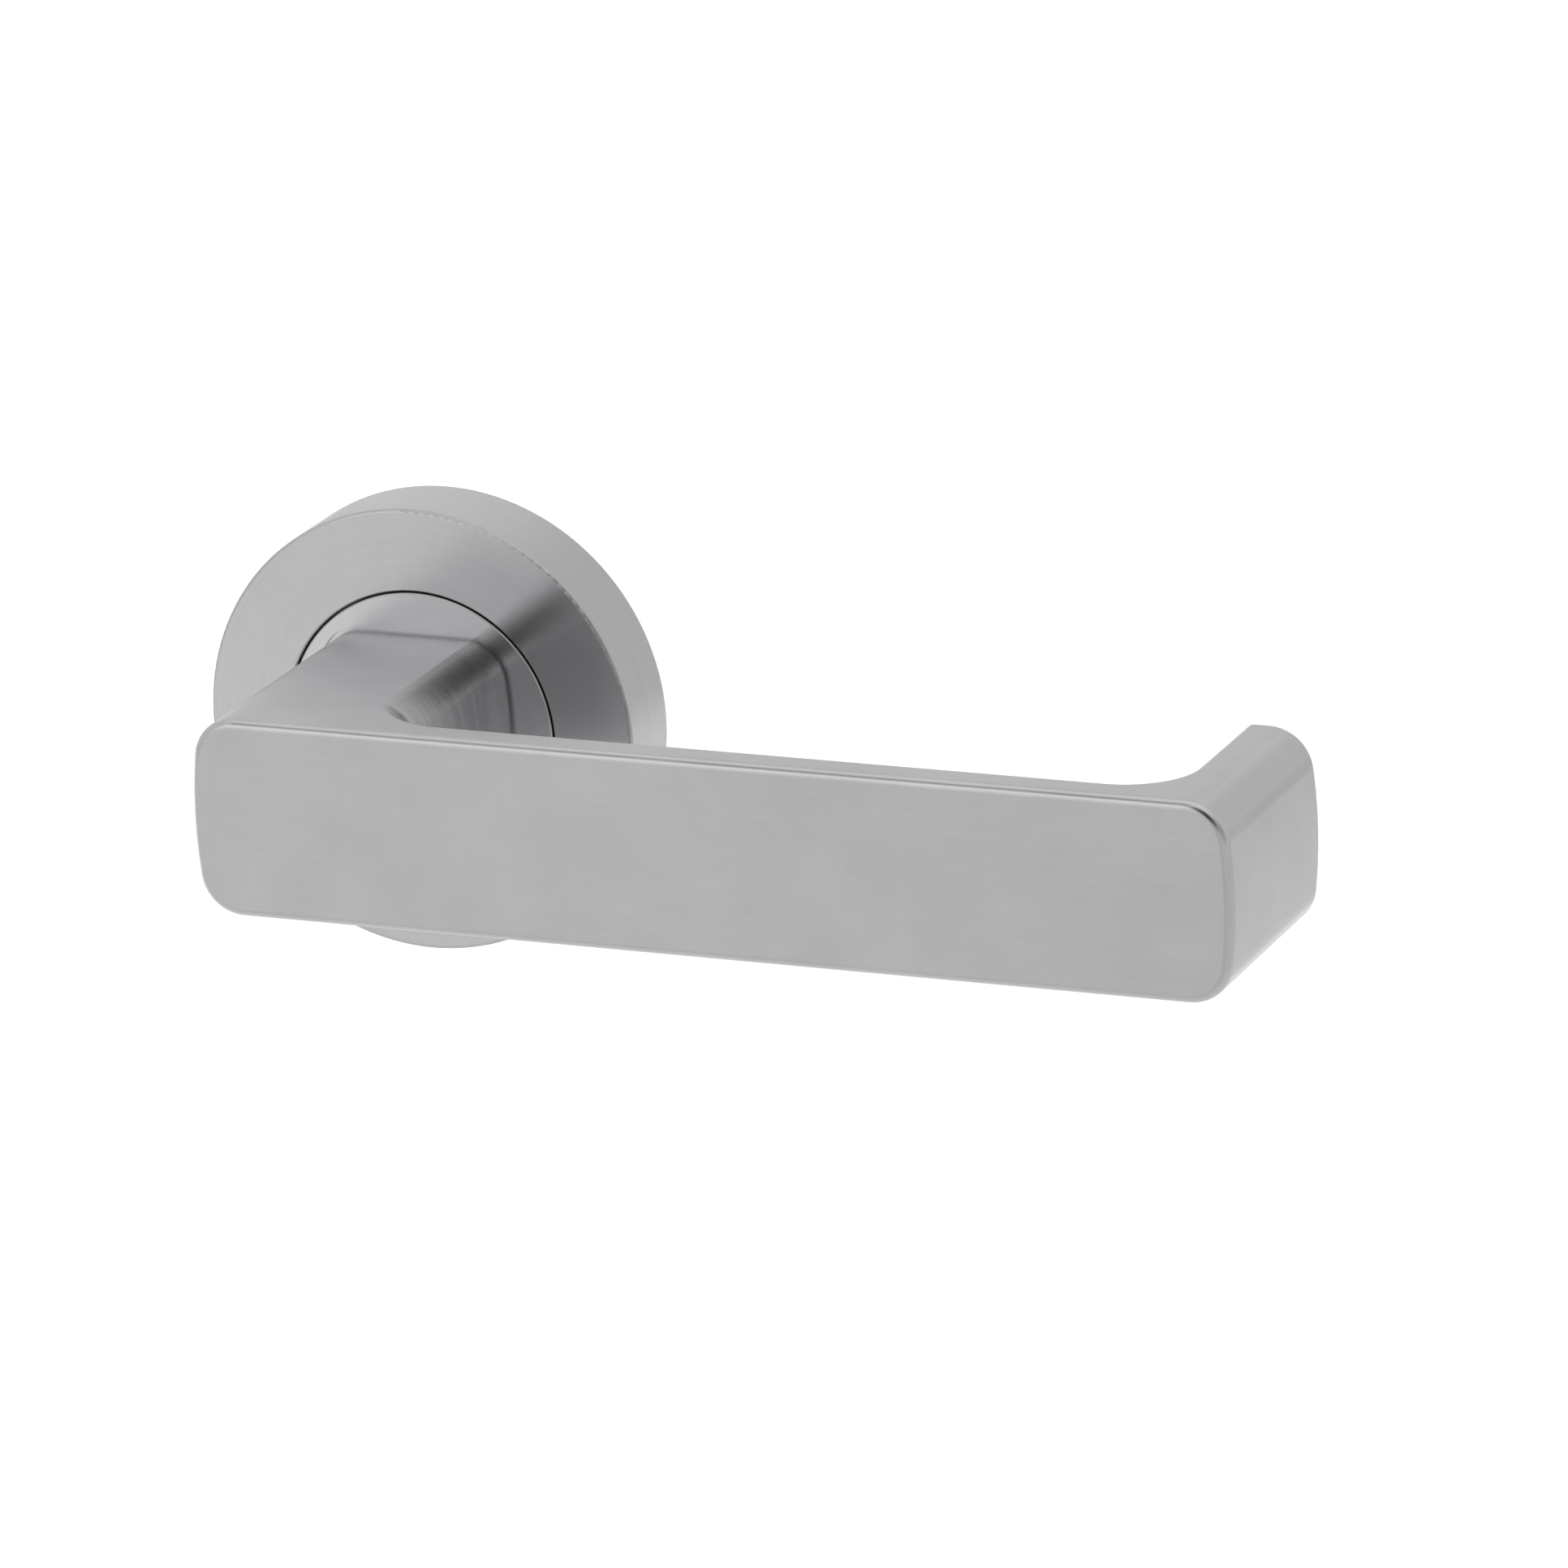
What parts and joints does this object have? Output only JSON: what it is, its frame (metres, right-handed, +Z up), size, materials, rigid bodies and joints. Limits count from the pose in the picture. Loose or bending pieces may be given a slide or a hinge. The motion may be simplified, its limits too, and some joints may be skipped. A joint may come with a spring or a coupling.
{
  "type": "door lever handle",
  "caption": "Satin steel door lever on a round sprung rose: a flat bar with bowed ends turns down on its square spindle and springs back, and its tip returns towards the door.",
  "frame": {"origin": "centre of the rose's back face, on the spindle's axis, where the handle meets the door", "axes": "+Y along the spindle into the door, +X towards the lever's free end, +Z up"},
  "size_m": [0.136, 0.0807, 0.052],
  "materials": {
    "lever_steel": "satin brushed stainless steel",
    "rose_steel": "satin stainless steel, brushed in circles on the lathe",
    "plain_steel": "plain drawn steel",
    "black_steel": "black oxide steel",
    "zinc_plate": "bright zinc-plated steel",
    "die_cast": "plain die-cast zinc alloy, matt",
    "nylon": "natural nylon",
    "foam": "black foam rubber"
  },
  "bodies": {
    "rose": {"rose_cover": "rose_steel", "sub_rose": "die_cast", "bush": "nylon", "post_top": "zinc_plate", "post_bottom": "zinc_plate", "gasket": "foam", "snap_ring": "plain_steel", "return_spring": "plain_steel"},
    "lever": {"lever": "lever_steel", "neck_disc": "rose_steel", "driver": "plain_steel", "circlip": "black_steel", "spindle": "zinc_plate", "grub_screw": "black_steel"}
  },
  "joints": [
    {"name": "lever_turn", "type": "hinge", "parent": "rose", "child": "lever", "pos_m": [0, 0, 0], "axis": [0, 1, 0], "range_deg": [0, 45], "stiffness_Nm_per_rad": 0.31, "springref_deg": -90, "deforming": ["return_spring"]}
  ]
}
